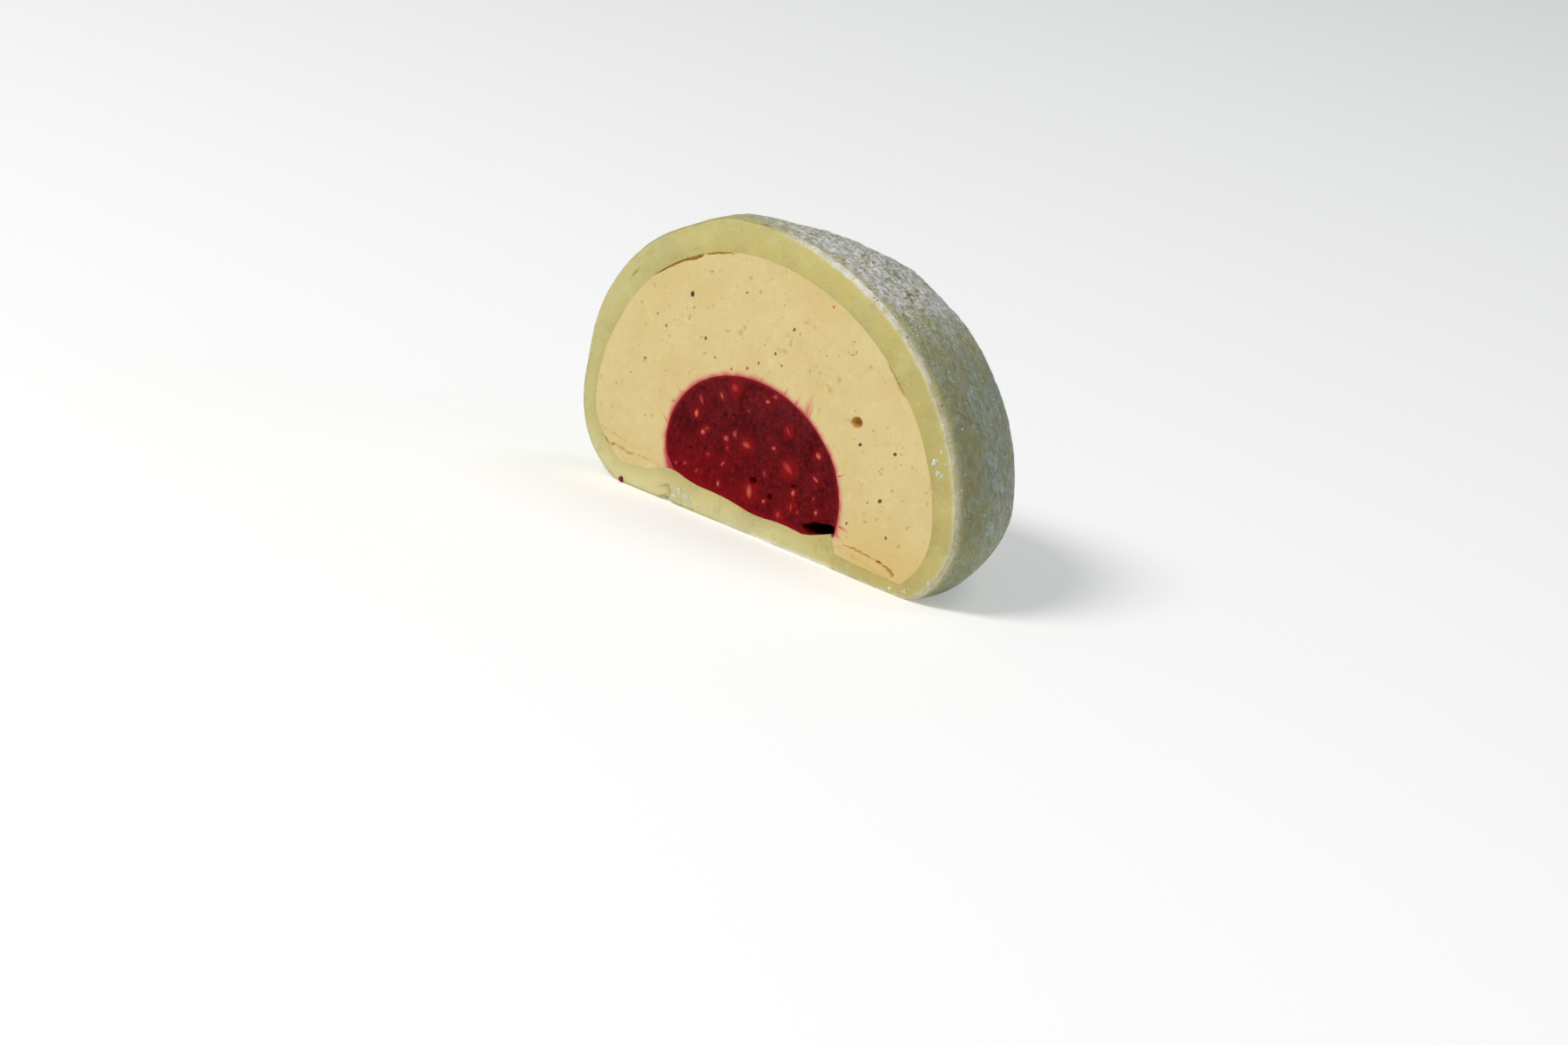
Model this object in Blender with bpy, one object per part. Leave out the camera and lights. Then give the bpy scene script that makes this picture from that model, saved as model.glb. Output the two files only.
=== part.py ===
"""Half of a filled rice-dough sweet, cut straight down through its middle.

A soft pistachio dough is closed round a pistachio cream, which covers a dome of raspberry filling
that sits on the dough's own base. The half stands on its flat base. Its cut face is upright and
faces -Y, +Z is up, and the origin is at the middle of the base, halfway between the cut and the back.
Sizes are in millimetres, and MM turns them into metres.
"""

import random
from math import asin, cos, exp, hypot, pi, radians, sin, sqrt

import bmesh
import bpy
from mathutils import Matrix, Vector, noise

MM = 0.001

# Driving dimensions of the whole half
HEIGHT = 36.3
HALF_WIDTH = 29.6
WAIST_Z = 10.0
FOOT_HALF_WIDTH = 23.7
CUT_Y = -14.9
DEPTH_SHARE = 0.955
BACK_SWELL = 0.17
BACK_SHIFT = 3.6
BACK_LIFT = 1.2

# The sweet has slumped: its middle leans left with height, and its crown a little more
MIDDLE_X = 2.02
LEAN = 0.19
CROWN_Z = 27.0
CROWN_LEAN = 2.6

# The filling inside the dough, and the raspberry dome inside the cream
DOUGH_TOP = 4.1
DOUGH_SIDE = 2.8
CREAM_SHIFT_X = -0.4
CREAM_WAIST_Z = 9.0
CREAM_FOOT_HALF_WIDTH = 22.6
CORE_TOP_Z = 18.0
CORE_HALF_WIDTH = 13.9
CORE_SHIFT_X = -1.5
CORE_WAIST_Z = 7.2
CORE_FOOT_HALF_WIDTH = 12.4

# The dough's base is thicker on the left and rises in a low pad under the raspberry dome
BASE_THICKNESS = 2.1
BASE_SLOPE = 0.025
PAD_RISE = 1.0
PAD_RADIUS = 13.0

GAP = 0.3
EDGE_ROUND = 0.5
DENT_DEPTH = 0.2
DENT_SPACING = 13.0
DENT_DETAIL = 0.4
DENT_FADE = 6.0

# Steps of the curved surfaces
COLUMNS = 36
RINGS = 18
FLOOR_RINGS = 5

# The pleat under the base, where the dough was pinched shut
PLEAT_X = -12.9
PLEAT_WIDTH = 1.7
PLEAT_DEPTH = 0.9
PLEAT_LENGTH = 17.0
PLEAT_DRIFT = 2.4
PLEAT_END = 0.1

# The air bubble in the cream, and the hollow between the raspberry dome and its base
BUBBLE_XZ = (12.3, 18.0)
BUBBLE_RADII = (0.85, 1.1, 0.65)
HOLLOW_XZ = (10.4, 3.6)
HOLLOW_RADII = (2.1, 2.6, 1.4)

# Seeds that show in the raspberry face: x, z, length, width, and tilt in degrees from level
MAIN_SEEDS = (
    (-0.8, 5.0, 2.3, 1.2, 75.0),
    (4.2, 9.4, 2.1, 0.9, -25.0),
    (-2.6, 10.2, 1.6, 0.9, 10.0),
    (-6.1, 16.1, 1.4, 1.0, -15.0),
    (-10.7, 13.4, 1.4, 0.8, -55.0),
    (8.5, 9.4, 1.4, 0.7, -20.0),
    (-9.4, 9.8, 1.2, 0.8, 50.0),
    (8.1, 12.2, 1.2, 0.8, -35.0),
    (-11.0, 11.5, 1.2, 0.8, 75.0),
    (4.2, 3.9, 1.2, 0.9, 0.0),
    (5.7, 6.9, 1.2, 0.8, 80.0),
)
SMALL_SEEDS = 12
SMALL_SEED_LENGTH = (0.8, 1.15)
SMALL_SEED_WIDTH = 0.7
SEED_SPACING = 2.3
SEED_MARGIN = 1.6
SEED_LOW_Z = 4.6
SEED_RISE = 0.35
SEED_SEGMENTS = 6
SEED_RINGS = 4
SEED_SEED = 7


def middle_x(z):
    """The x of the middle of the section at height z."""
    crown = max(0.0, (z - CROWN_Z) / (HEIGHT - CROWN_Z))
    return MIDDLE_X - LEAN * z - CROWN_LEAN * crown**3


def base_top(x, y):
    """The height of the dough's base inside the sweet."""
    from_core = hypot(x - CORE_SHIFT_X, y - CUT_Y)
    return BASE_THICKNESS - BASE_SLOPE * x + PAD_RISE * exp(-((from_core / PAD_RADIUS) ** 4))


def rounding(behind):
    """How far the cut edge is drawn in at this distance behind the cut."""
    left = min(EDGE_ROUND, max(0.0, EDGE_ROUND - behind))
    return EDGE_ROUND - sqrt(EDGE_ROUND**2 - left**2)


def turns():
    """Angles round half a ring, from the right side of the cut to the left, with steps for its round edge."""
    first = asin(0.3 * EDGE_ROUND / HALF_WIDTH)
    second = asin(EDGE_ROUND / HALF_WIDTH)
    middle = [pi * i / COLUMNS for i in range(1, COLUMNS)]
    return [0.0, first, second, *middle, pi - second, pi - first, pi]


def ring(width, z, shift):
    """One half ring of the slumped form at height z."""
    points = []
    for turn in turns():
        depth = width * DEPTH_SHARE * (1 + BACK_SWELL * z / HEIGHT)
        back = width / HALF_WIDTH * sin(turn)
        x = middle_x(z) + shift + width * cos(turn) + BACK_SHIFT * z / HEIGHT * back**2
        lift = BACK_LIFT * z / HEIGHT * sin(pi * back)
        points.append(Vector((x, CUT_Y + depth * sin(turn), z + lift)))
    return points


def dome(half_width, waist, top, foot, shift, floor_z):
    """Half rings from the foot, over the waist and up to the pole, of a form that rests on floor_z."""
    below = (waist - floor_z) / sqrt(1 - (foot / half_width) ** 2)
    start = -asin((waist - floor_z) / below)
    rings = []
    for i in range(RINGS + 1):
        rise = start + (pi / 2 - start) * i / RINGS
        reach = top - waist if rise > 0 else below
        rings.append(ring(half_width * max(0.0, cos(rise)), waist + reach * sin(rise), shift))
    return rings


def settle(rings, waist, floor_z, lift):
    """Moves the lowest rings so that the foot follows the dough's uneven base."""
    for points in rings:
        for point in points:
            share = max(0.0, (waist - point.z) / (waist - floor_z))
            point.z += share * (base_top(point.x, point.y) + lift - floor_z)


def inward(foot_ring, height):
    """Rings on a floor, from near its middle out to the foot ring, at the height that a function gives."""
    centre = Vector(((foot_ring[0].x + foot_ring[-1].x) / 2, CUT_Y, 0.0))
    rings = []
    for i in range(FLOOR_RINGS):
        points = []
        for edge in foot_ring:
            point = centre.lerp(edge, i / FLOOR_RINGS)
            point.z = height(point.x, point.y)
            points.append(point)
        rings.append(points)
    return rings


def surface(bm, rings):
    """Faces between successive rings. The poles are merged later."""
    rows = [[bm.verts.new(point * MM) for point in points] for points in rings]
    for low, high in zip(rows, rows[1:]):
        for i in range(len(low) - 1):
            bm.faces.new((low[i], low[i + 1], high[i + 1], high[i]))


def close_cut(bm):
    """Merges the poles and fills the flat cut face between the open edges."""
    bmesh.ops.remove_doubles(bm, verts=bm.verts, dist=0.00001)
    open_edges = [edge for edge in bm.edges if edge.is_boundary]
    bmesh.ops.triangle_fill(bm, use_beauty=True, edges=open_edges)
    bmesh.ops.recalc_face_normals(bm, faces=bm.faces)


def node(name, bm, colour, roughness):
    """An object of the scene from a bmesh, with its own material."""
    mesh = bpy.data.meshes.new(name)
    bm.to_mesh(mesh)
    bm.free()
    mesh.shade_smooth()
    mesh.set_sharp_from_angle(angle=radians(35))
    material = bpy.data.materials.new(name)
    material.use_nodes = True
    shader = material.node_tree.nodes["Principled BSDF"]
    shader.inputs["Base Color"].default_value = (*colour, 1.0)
    shader.inputs["Roughness"].default_value = roughness
    shader.inputs["Metallic"].default_value = 0.0
    mesh.materials.append(material)
    thing = bpy.data.objects.new(name, mesh)
    bpy.context.scene.collection.objects.link(thing)
    return thing


def cutter(name, bm):
    """A helper that only cuts."""
    mesh = bpy.data.meshes.new(name)
    bm.to_mesh(mesh)
    bm.free()
    thing = bpy.data.objects.new(name, mesh)
    bpy.context.scene.collection.objects.link(thing)
    thing.hide_render = True
    thing.display_type = "WIRE"
    return thing


def cut(thing, by):
    """Adds the Boolean that takes a cutter out of a solid."""
    modifier = thing.modifiers.new("cut_" + by.name, "BOOLEAN")
    modifier.operation = "DIFFERENCE"
    modifier.object = by


def ellipsoid(name, x, y, z, radii):
    """A round cutter with three radii."""
    bm = bmesh.new()
    bmesh.ops.create_icosphere(bm, subdivisions=3, radius=1.0)
    place = Matrix.Translation(Vector((x, y, z)) * MM)
    size = Matrix.Diagonal((*(r * MM for r in radii), 1.0))
    bmesh.ops.transform(bm, matrix=place @ size, verts=bm.verts)
    return cutter(name, bm)


def dented(point):
    """The outer surface, gently uneven behind the cut and flat at the foot."""
    behind = min(1.0, (point.y - CUT_Y) / DENT_FADE)
    above = min(1.0, point.z / DENT_FADE)
    lump = noise.noise(point / DENT_SPACING) + DENT_DETAIL * noise.noise(2 * point / DENT_SPACING)
    outward = (point - Vector((middle_x(WAIST_Z), CUT_Y, WAIST_Z))).normalized()
    return point + outward * (DENT_DEPTH * lump * behind * above)


def round_edge(point):
    """Draws a point of the outer surface in where it nears the cut."""
    inward_by = rounding(point.y - CUT_Y)
    towards = Vector((middle_x(WAIST_Z) - point.x, 0.0, WAIST_Z - point.z)).normalized()
    return point + towards * inward_by


def dough():
    """The dough's shell, with its base."""
    outer = dome(HALF_WIDTH, WAIST_Z, HEIGHT, FOOT_HALF_WIDTH, 0.0, 0.0)
    outer = [[round_edge(dented(point)) for point in points] for points in outer]
    for point in outer[0]:
        point.z = 0.0
    underside = inward(outer[0], lambda x, y: 0.0)
    inner = dome(
        HALF_WIDTH - DOUGH_SIDE,
        CREAM_WAIST_Z,
        HEIGHT - DOUGH_TOP,
        CREAM_FOOT_HALF_WIDTH,
        CREAM_SHIFT_X,
        BASE_THICKNESS,
    )
    settle(inner, CREAM_WAIST_Z, BASE_THICKNESS, 0.0)
    bm = bmesh.new()
    surface(bm, underside + outer)
    surface(bm, inward(inner[0], base_top) + inner)
    close_cut(bm)
    shell = node("mochi_skin", bm, (0.60, 0.55, 0.24), 0.7)
    cut(shell, pleat())


def pleat():
    """A groove under the base that runs back from the cut and thins out."""
    ends = (
        (PLEAT_X, CUT_Y - 1.0, PLEAT_WIDTH / 2, PLEAT_DEPTH),
        (PLEAT_X + PLEAT_DRIFT, CUT_Y + PLEAT_LENGTH, PLEAT_END / 2, PLEAT_END),
    )
    bm = bmesh.new()
    sections = []
    for x, y, half, depth in ends:
        corners = ((x - half, 0.0), (x, depth), (x + half, 0.0), (x, -depth))
        sections.append([bm.verts.new(Vector((side, y, z)) * MM) for side, z in corners])
        bm.faces.new(sections[-1])
    front, back = sections
    for i in range(4):
        j = (i + 1) % 4
        bm.faces.new((front[i], front[j], back[j], back[i]))
    bmesh.ops.recalc_face_normals(bm, faces=bm.faces)
    return cutter("pleat_cutter", bm)


def cream():
    """The cream between the dough and the raspberry dome, with its air bubble."""
    floor_z = BASE_THICKNESS + GAP
    outer = dome(
        HALF_WIDTH - DOUGH_SIDE - GAP,
        CREAM_WAIST_Z,
        HEIGHT - DOUGH_TOP - GAP,
        CREAM_FOOT_HALF_WIDTH - GAP,
        CREAM_SHIFT_X,
        floor_z,
    )
    settle(outer, CREAM_WAIST_Z, floor_z, GAP)
    hollow = dome(
        CORE_HALF_WIDTH + GAP,
        CORE_WAIST_Z,
        CORE_TOP_Z + GAP,
        CORE_FOOT_HALF_WIDTH + GAP,
        CORE_SHIFT_X,
        floor_z,
    )
    settle(hollow, CORE_WAIST_Z, floor_z, GAP)
    underside = []
    for i in range(FLOOR_RINGS):
        points = [near.lerp(far, i / FLOOR_RINGS) for near, far in zip(hollow[0], outer[0])]
        for point in points:
            point.z = base_top(point.x, point.y) + GAP
        underside.append(points)
    bm = bmesh.new()
    surface(bm, underside + outer)
    surface(bm, hollow)
    close_cut(bm)
    filling = node("pistachio_cream", bm, (0.70, 0.56, 0.28), 0.6)
    x, z = BUBBLE_XZ
    cut(filling, ellipsoid("bubble_cutter", x, CUT_Y, z, BUBBLE_RADII))


def core_width(z):
    """Half the width of the raspberry face at height z."""
    reach = CORE_TOP_Z - CORE_WAIST_Z
    return CORE_HALF_WIDTH * sqrt(max(0.0, 1 - ((z - CORE_WAIST_Z) / reach) ** 2))


def seed_places():
    """The seeds of the raspberry face: the main ones, then small ones drawn between them."""
    draw = random.Random(SEED_SEED)
    seeds = list(MAIN_SEEDS)
    wanted = len(MAIN_SEEDS) + SMALL_SEEDS
    while len(seeds) < wanted:
        z = draw.uniform(SEED_LOW_Z, CORE_TOP_Z - SEED_MARGIN)
        half = core_width(z) - SEED_MARGIN
        x = middle_x(z) + CORE_SHIFT_X + draw.uniform(-half, half)
        near_hollow = hypot(x - HOLLOW_XZ[0], z - HOLLOW_XZ[1]) < HOLLOW_RADII[0] + SEED_MARGIN
        crowded = any(hypot(x - s[0], z - s[1]) < SEED_SPACING for s in seeds)
        if near_hollow or crowded:
            continue
        length = draw.uniform(*SMALL_SEED_LENGTH)
        seeds.append((x, z, length, SMALL_SEED_WIDTH, draw.uniform(-80.0, 80.0)))
    return seeds


def seed(x, z, length, width, tilt):
    """One plump seed, half sunk in the raspberry face."""
    bm = bmesh.new()
    bmesh.ops.create_uvsphere(bm, u_segments=SEED_SEGMENTS, v_segments=SEED_RINGS, radius=1.0)
    radii = (width / 2, SEED_RISE, length / 2)
    turn = Matrix.Rotation(radians(90.0 - tilt), 4, "Y")
    place = Matrix.Translation(Vector((x, CUT_Y + SEED_RISE, z)) * MM)
    size = Matrix.Diagonal((*(r * MM for r in radii), 1.0))
    bmesh.ops.transform(bm, matrix=place @ turn @ size, verts=bm.verts)
    return cutter("seed", bm)


def add_seeds(berry):
    """Fuses the seeds to the raspberry dome in one union, then removes the loose ones."""
    seeds = bpy.data.collections.new("seeds")
    bpy.context.scene.collection.children.link(seeds)
    for place in seed_places():
        thing = seed(*place)
        bpy.context.scene.collection.objects.unlink(thing)
        seeds.objects.link(thing)
    modifier = berry.modifiers.new("add_seeds", "BOOLEAN")
    modifier.operation = "UNION"
    modifier.operand_type = "COLLECTION"
    modifier.collection = seeds
    bpy.context.view_layer.objects.active = berry
    bpy.ops.object.modifier_apply(modifier=modifier.name)
    for thing in list(seeds.objects):
        bpy.data.objects.remove(thing)
    bpy.data.collections.remove(seeds)


def raspberry():
    """The raspberry dome, its face set back a little so that its seeds reach the plane of the cut."""
    floor_z = BASE_THICKNESS + GAP
    rings = dome(
        CORE_HALF_WIDTH, CORE_WAIST_Z, CORE_TOP_Z, CORE_FOOT_HALF_WIDTH, CORE_SHIFT_X, floor_z
    )
    settle(rings, CORE_WAIST_Z, floor_z, GAP)
    rings = inward(rings[0], lambda x, y: base_top(x, y) + GAP) + rings
    for points in rings:
        for point in points:
            point.y += SEED_RISE * max(0.0, 1 - (point.y - CUT_Y) / CORE_HALF_WIDTH)
    bm = bmesh.new()
    surface(bm, rings)
    close_cut(bm)
    berry = node("raspberry_core", bm, (0.10, 0.006, 0.012), 0.35)
    add_seeds(berry)
    x, z = HOLLOW_XZ
    cut(berry, ellipsoid("hollow_cutter", x, CUT_Y, z, HOLLOW_RADII))


def main():
    for thing in list(bpy.data.objects):
        bpy.data.objects.remove(thing)
    dough()
    cream()
    raspberry()


main()
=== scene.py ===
from math import asin, pi, radians, sqrt

import bpy
import numpy as np
from mathutils import Euler, Matrix, Vector, noise


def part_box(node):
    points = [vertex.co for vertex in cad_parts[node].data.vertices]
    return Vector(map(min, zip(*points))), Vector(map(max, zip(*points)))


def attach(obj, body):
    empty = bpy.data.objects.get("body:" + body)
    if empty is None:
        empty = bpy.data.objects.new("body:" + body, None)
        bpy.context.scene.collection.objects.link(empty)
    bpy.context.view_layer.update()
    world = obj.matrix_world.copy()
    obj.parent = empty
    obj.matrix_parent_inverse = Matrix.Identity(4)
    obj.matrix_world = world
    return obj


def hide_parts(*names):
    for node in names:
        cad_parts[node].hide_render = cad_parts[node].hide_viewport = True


# Half of a filled rice-dough sweet: a starch-dusted pistachio dough, pistachio cream and a raspberry dome.
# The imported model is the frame. Shapes below are worked out in millimetres, and MM turns them into metres.
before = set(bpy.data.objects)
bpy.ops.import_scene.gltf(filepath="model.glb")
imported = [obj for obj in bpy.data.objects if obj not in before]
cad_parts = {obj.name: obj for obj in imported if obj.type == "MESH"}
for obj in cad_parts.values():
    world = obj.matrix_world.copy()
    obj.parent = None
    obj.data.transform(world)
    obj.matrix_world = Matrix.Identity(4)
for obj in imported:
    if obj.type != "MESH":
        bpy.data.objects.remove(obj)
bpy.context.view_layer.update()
bpy.ops.object.select_all(action="DESELECT")
MM = 0.001
CUT_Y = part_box("mochi_skin")[0].y / MM


# Camera
# It stands to the right of the cut face and a little above it, and is rolled so that the base slopes down
# to the right across the picture.
AZIMUTH = 37.0
ELEVATION = 13.0
ROLL = 12.8
AIM = Vector((5.42, CUT_Y, 3.17)) * MM
DISTANCE = 616.4 * MM
facing = Euler((radians(90 - ELEVATION), 0, radians(AZIMUTH))).to_matrix()
facing = facing @ Matrix.Rotation(radians(ROLL), 3, "Z")
bpy.ops.object.camera_add(location=AIM + facing.col[2] * DISTANCE, rotation=facing.to_euler())
camera = bpy.context.object
camera.data.lens = 120
camera.data.sensor_width = 36
camera.data.clip_start = 0.01
camera.data.dof.use_dof = False
bpy.context.scene.camera = camera


# Table top and light
# A plain pale top, a large soft box from the upper left in front, a weak cool one behind on the right,
# a weak one overhead, and an even, slightly cool sky.
def put(tree, kind, inputs=(), out=0, **settings):
    """Adds a shader node with its settings and inputs, and returns one of its outputs."""
    made = tree.nodes.new("ShaderNode" + kind)
    for name, value in settings.items():
        setattr(made, name, value)
    for name, value in dict(inputs).items():
        if isinstance(value, bpy.types.NodeSocket):
            tree.links.new(value, made.inputs[name])
        else:
            made.inputs[name].default_value = value
    return made.outputs[out]


def tone(red, green, blue):
    """A colour given as it looks on screen, from 0 to 255, as Blender's linear one."""
    shares = [level / 255 for level in (red, green, blue)]
    linear = [share / 12.92 if share <= 0.04045 else ((share + 0.055) / 1.055) ** 2.4 for share in shares]
    return (*linear, 1.0)


def noisy(tree, place, scale, detail, roughness=0.5, distortion=0.0):
    """Smooth uneven values of 0 to 1, finer with a larger scale."""
    inputs = {"Vector": place, "Scale": scale, "Detail": detail, "Roughness": roughness}
    return put(tree, "TexNoise", inputs | {"Distortion": distortion})


def finish(name, **plain):
    """A material with these plain values on its shader: its node tree and its shader."""
    made = bpy.data.materials.new(name)
    made.use_nodes = True
    shader = made.node_tree.nodes["Principled BSDF"]
    for socket, value in plain.items():
        shader.inputs[socket.replace("_", " ")].default_value = value
    return made, made.node_tree, shader


def soft_box(name, direction, distance, size, power, colour):
    """An area light that faces the sweet from a direction."""
    direction = Vector(direction).normalized()
    turn = direction.to_track_quat("Z", "Y").to_euler()
    bpy.ops.object.light_add(type="AREA", location=AIM + direction * distance, rotation=turn)
    lamp = bpy.context.object
    lamp.name = name
    lamp.data.shape = "DISK"
    lamp.data.size = size
    lamp.data.energy = power
    lamp.data.color = colour


soft_box("key_light", (-0.22, -0.68, 0.68), 1.2, 0.45, 8.9, (1.0, 0.985, 0.95))
soft_box("back_light", (0.9, 0.5, 0.35), 1.2, 0.6, 0.65, (0.85, 0.95, 1.0))
soft_box("top_light", (0.1, 0.45, 0.9), 1.2, 0.5, 1.3, (1.0, 0.99, 0.97))
world = bpy.data.worlds.new("studio")
world.use_nodes = True
world.node_tree.nodes["Background"].inputs["Color"].default_value = (0.92, 0.97, 1.0, 1.0)
world.node_tree.nodes["Background"].inputs["Strength"].default_value = 0.28
bpy.context.scene.world = world
bpy.context.scene.view_settings.view_transform = "Standard"

bpy.ops.mesh.primitive_plane_add(size=4.0)
table_top = bpy.context.object
table_top.name = "table_top"
table_finish, tree, shader = finish(
    "pale_table", Roughness=0.9, Specular_IOR_Level=0.2, Emission_Strength=0.24
)
spots = noisy(tree, put(tree, "TexCoord", out=3), 6.0, 3.0)
shades = {0: spots, 6: (0.93, 0.93, 0.925, 1.0), 7: (0.95, 0.95, 0.95, 1.0)}
shade = put(tree, "Mix", shades, 2, data_type="RGBA")
tree.links.new(shade, shader.inputs["Base Color"])
table_top.data.materials.append(table_finish)


# Dough skin
# Soft pistachio rice dough, rolled thin and closed round the filling, then cut with a knife. It has slumped
# on its base, its cut edge is drawn in and its outside is dusted with starch.
HEIGHT = 36.3
HALF_WIDTH = 29.6
MIDDLE_X = 2.02
LEAN = 0.19
CROWN_Z = 27.0
CROWN_LEAN = 2.6
DEPTH_SHARE = 0.955
BACK_SWELL = 0.17
BACK_SHIFT = 3.6
BACK_LIFT = 1.2
BASE_THICKNESS = 2.1
BASE_SLOPE = 0.025
PAD_X = -1.5
PAD_RISE = 1.0
PAD_RADIUS = 13.0
PINCH_Z = 19.0
PINCH_REACH = 6.0
# A form is a slumped dome: half its width at the waist, the heights of its waist and top, half its foot's
# width, its shift to the right, the height of its floor, and how far its left side is pinched in.
DOUGH = dict(half_width=HALF_WIDTH, waist=10.0, top=HEIGHT, foot=23.7, shift=0.0, floor=0.0, pinch=0.0)
FILLING = dict(
    half_width=26.65, waist=9.0, top=32.2, foot=22.6, shift=-0.5, floor=BASE_THICKNESS, pinch=0.35
)


def ball(radius, segments, rings, planes):
    """A ball with its poles in front and behind, kept only on the sides that these directions point to."""
    bpy.ops.object.select_all(action="DESELECT")
    bpy.ops.mesh.primitive_uv_sphere_add(
        segments=segments, ring_count=rings, radius=radius, rotation=(pi / 2, 0, 0)
    )
    piece = bpy.context.object
    bpy.ops.object.transform_apply(location=False, rotation=True, scale=False)
    bpy.ops.object.mode_set(mode="EDIT")
    for normal in planes:
        bpy.ops.mesh.select_all(action="SELECT")
        bpy.ops.mesh.bisect(plane_co=(0, 0, 0), plane_no=normal, clear_inner=True)
    bpy.ops.object.mode_set(mode="OBJECT")
    return piece


def draw_in(piece, start, end, steps):
    """Extrudes a cut ball's open edge towards the middle, from one radius to another, in steps."""
    bpy.ops.object.mode_set(mode="EDIT")
    bpy.ops.mesh.select_mode(type="EDGE")
    bpy.ops.mesh.select_all(action="DESELECT")
    bpy.ops.mesh.select_non_manifold(
        extend=False, use_wire=False, use_multi_face=False, use_non_contiguous=False, use_verts=False
    )
    radii = np.linspace(start, end, steps + 1)
    for old, new in zip(radii, radii[1:]):
        bpy.ops.mesh.extrude_edges_move()
        bpy.ops.transform.resize(value=(new / old,) * 3, center_override=(0, 0, 0))


def close_up(piece, cuts):
    """Merges what meets, makes the mesh finer and turns its faces outwards."""
    bpy.ops.object.mode_set(mode="EDIT")
    bpy.ops.mesh.select_all(action="SELECT")
    bpy.ops.mesh.remove_doubles(threshold=0.0001)
    bpy.ops.mesh.subdivide(number_cuts=cuts)
    bpy.ops.mesh.select_all(action="SELECT")
    bpy.ops.mesh.normals_make_consistent(inside=False)
    bpy.ops.object.mode_set(mode="OBJECT")


def walled_ball(name, segments, rings, inner_rings, steps, planes, cuts):
    """A cut ball of radius 2 round a hollow of radius 1, in one closed mesh."""
    hollow = ball(1.0, segments, inner_rings, planes)
    piece = ball(2.0, segments, rings, planes)
    draw_in(piece, 2.0, 1.0, steps)
    bpy.ops.object.mode_set(mode="OBJECT")
    hollow.select_set(True)
    bpy.ops.object.join()
    close_up(piece, cuts)
    piece.name = name
    piece.data.name = name
    return piece


def read(parts, name, width=1, kind=float):
    """One property of a mesh's vertices, corners or faces, with this many values for each of them."""
    flat = np.empty(len(parts) * width, dtype=kind)
    parts.foreach_get(name, flat)
    return flat.reshape(-1, width) if width > 1 else flat


def points_of(piece):
    """The piece's vertices as rows of x, y and z."""
    return read(piece.data.vertices, "co", 3)


def put_points(piece, points):
    """Moves the piece's vertices to points given in millimetres."""
    piece.data.vertices.foreach_set("co", (points * MM).ravel())
    piece.data.update()


def smooth(piece):
    """Shades the piece smooth, with its corners kept."""
    bpy.ops.object.select_all(action="DESELECT")
    piece.select_set(True)
    bpy.context.view_layer.objects.active = piece
    bpy.ops.object.shade_smooth_by_angle(angle=radians(45))


def mark(piece, name, values):
    """Stores a value for each vertex, which a material reads."""
    piece.data.attributes.new(name, "FLOAT", "POINT").data.foreach_set("value", values.astype(np.float32))


def ease(values, low, high):
    """0 below low, 1 above high and smooth between them."""
    share = np.clip((values - low) / (high - low), 0.0, 1.0)
    return share * share * (3 - 2 * share)


def waves(points, spacing, octaves=1):
    """Smooth uneven values of about -1 to 1, with bumps this far apart."""
    return np.array([noise.fractal(Vector(p / spacing), 0.7, 2.0, octaves) for p in points])


def middle_x(z):
    """The x of the middle of the slumped sweet at height z."""
    crown = np.maximum(0.0, (z - CROWN_Z) / (HEIGHT - CROWN_Z))
    return MIDDLE_X - LEAN * z - CROWN_LEAN * crown**3


def base_top(x, y):
    """The top of the dough's base: a pad and a dip under the raspberry, a fold and a lip beside it."""
    from_middle = np.hypot(x - PAD_X, y - CUT_Y)
    pad = PAD_RISE * np.exp(-((from_middle / PAD_RADIUS) ** 4))
    near_cut = 1 - ease(y - CUT_Y, 2.0, 7.0)
    fold = 1.0 * np.exp(-(((x + 13.2) / 2.8) ** 2)) * near_cut
    lip = np.interp(x, (8.2, 9.9, 12.5, 13.5), (0.0, 0.6, 2.0, 0.0)) * near_cut
    dip = 0.5 * np.exp(-(((x - 0.8) / 3.2) ** 2)) * near_cut
    return BASE_THICKNESS - BASE_SLOPE * x + pad + fold + lip - dip


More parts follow.
